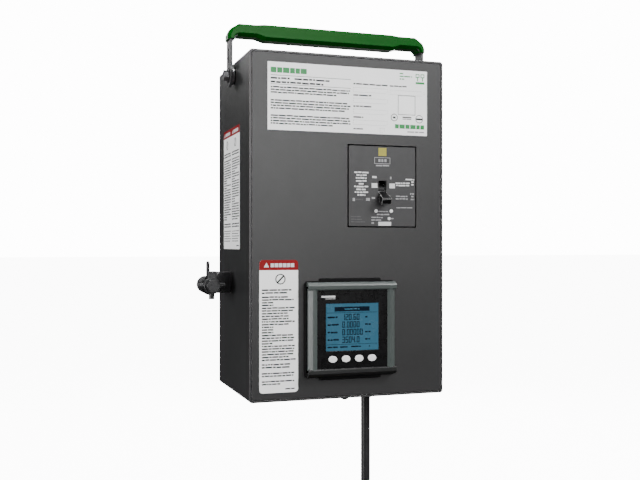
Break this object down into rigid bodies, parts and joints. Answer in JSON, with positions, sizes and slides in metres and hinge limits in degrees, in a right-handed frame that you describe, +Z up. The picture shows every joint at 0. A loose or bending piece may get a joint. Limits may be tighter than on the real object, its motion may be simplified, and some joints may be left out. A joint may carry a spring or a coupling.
{
  "type": "portable power distribution box",
  "caption": "Sheet steel plug-in power box with a bail handle, lever breaker, square panel meter with push buttons, side clamp and a drop cord with connector.",
  "frame": {"origin": "centre of the flat rear face, which rests against the track that carries the box", "axes": "+X right as seen from the front, +Y out of the rear face, +Z up"},
  "size_m": [0.2631, 0.1598, 0.7276],
  "materials": {
    "box_paint": "satin",
    "cover_paint": "satin",
    "dark_screw": "satin",
    "zinc_steel": "satin",
    "bail_steel": "satin",
    "pin_steel": "polished",
    "black_moulding": "matte",
    "jaw_copper": "satin",
    "bar_brass": "satin",
    "breaker_grey": "matte",
    "white_plastic": "satin",
    "gasket_black": "matte",
    "meter_grey": "satin",
    "meter_black": "satin",
    "screen_glass": "gloss",
    "grip_green": "satin",
    "clamp_iron": "matte",
    "cord_jacket": "matte",
    "connector_yellow": "satin",
    "wire_black": "satin",
    "wire_red": "satin",
    "wire_blue": "satin",
    "wire_white": "satin"
  },
  "bodies": {
    "box": {"enclosure_body": "box_paint", "front_cover": "cover_paint", "cover_screw": "dark_screw", "cover_nut": "zinc_steel", "stab_base": "black_moulding", "stab_jaw_1": "jaw_copper", "stab_jaw_2": "jaw_copper", "stab_jaw_3": "jaw_copper", "stab_jaw_4": "jaw_copper", "stab_base_screw_left": "zinc_steel", "stab_base_screw_right": "zinc_steel", "breaker_case": "breaker_grey", "breaker_bracket": "zinc_steel", "meter_gasket": "gasket_black", "meter_bezel": "meter_grey", "meter_panel": "meter_black", "meter_screen": "screen_glass", "meter_case": "black_moulding", "handle_bolt_left": "dark_screw", "handle_bolt_right": "dark_screw", "handle_spacer_left": "zinc_steel", "handle_spacer_right": "zinc_steel", "handle_nut_left": "zinc_steel", "handle_nut_right": "zinc_steel", "clamp_block": "clamp_iron", "clamp_screw": "zinc_steel", "gland_body": "black_moulding", "gland_locknut": "zinc_steel", "gland_nut": "black_moulding", "power_cord": "cord_jacket", "cord_coil": "cord_jacket", "cord_tail": "cord_jacket", "coil_tie": "gasket_black", "connector_clamp": "black_moulding", "connector_shell": "connector_yellow", "connector_face": "black_moulding", "current_transformer": "black_moulding", "ground_bar": "bar_brass", "meter_fuse_block": "black_moulding", "line_wire_1": "wire_black", "line_wire_2": "wire_red", "line_wire_3": "wire_blue", "load_wire_1": "wire_black", "load_wire_2": "wire_red", "load_wire_3": "wire_blue", "neutral_wire": "wire_white"},
    "handle": {"handle_bail": "bail_steel", "handle_grip": "grip_green"},
    "toggle": {"breaker_toggle": "black_moulding"},
    "trip": {"trip_button": "white_plastic"},
    "button_1": {"meter_button_1": "white_plastic"},
    "button_2": {"meter_button_2": "white_plastic"},
    "button_3": {"meter_button_3": "white_plastic"},
    "button_4": {"meter_button_4": "white_plastic"},
    "clamp_shaft": {"clamp_bolt": "clamp_iron", "clamp_knob": "clamp_iron", "clamp_disc": "clamp_iron", "clamp_dog": "clamp_iron"},
    "lock_pin": {"clamp_lock_pin": "pin_steel"}
  },
  "joints": [
    {"name": "handle_swing", "type": "hinge", "parent": "box", "child": "handle", "pos_m": [0, -0.076, 0.1625], "axis": [1, 0, 0], "range_deg": [-50, 50]},
    {"name": "breaker_throw", "type": "hinge", "parent": "box", "child": "toggle", "pos_m": [0.0367, -0.137, 0.0385], "axis": [1, 0, 0], "range_deg": [-62, 0]},
    {"name": "trip_press", "type": "slide", "parent": "box", "child": "trip", "axis": [0, 1, 0], "range_m": [0, 0.0012], "stiffness_N_per_m": 400},
    {"name": "meter_button_1_press", "type": "slide", "parent": "box", "child": "button_1", "axis": [0, 1, 0], "range_m": [0, 0.001], "stiffness_N_per_m": 400},
    {"name": "meter_button_2_press", "type": "slide", "parent": "box", "child": "button_2", "axis": [0, 1, 0], "range_m": [0, 0.001], "stiffness_N_per_m": 400},
    {"name": "meter_button_3_press", "type": "slide", "parent": "box", "child": "button_3", "axis": [0, 1, 0], "range_m": [0, 0.001], "stiffness_N_per_m": 400},
    {"name": "meter_button_4_press", "type": "slide", "parent": "box", "child": "button_4", "axis": [0, 1, 0], "range_m": [0, 0.001], "stiffness_N_per_m": 400},
    {"name": "clamp_turn", "type": "hinge", "parent": "box", "child": "clamp_shaft", "pos_m": [-0.1307, -0.063, -0.0625], "axis": [0, 1, 0], "range_deg": [0, 90]},
    {"name": "lock_pin_lift", "type": "slide", "parent": "box", "child": "lock_pin", "axis": [0, 0, 1], "range_m": [0, 0.006], "stiffness_N_per_m": 300}
  ]
}
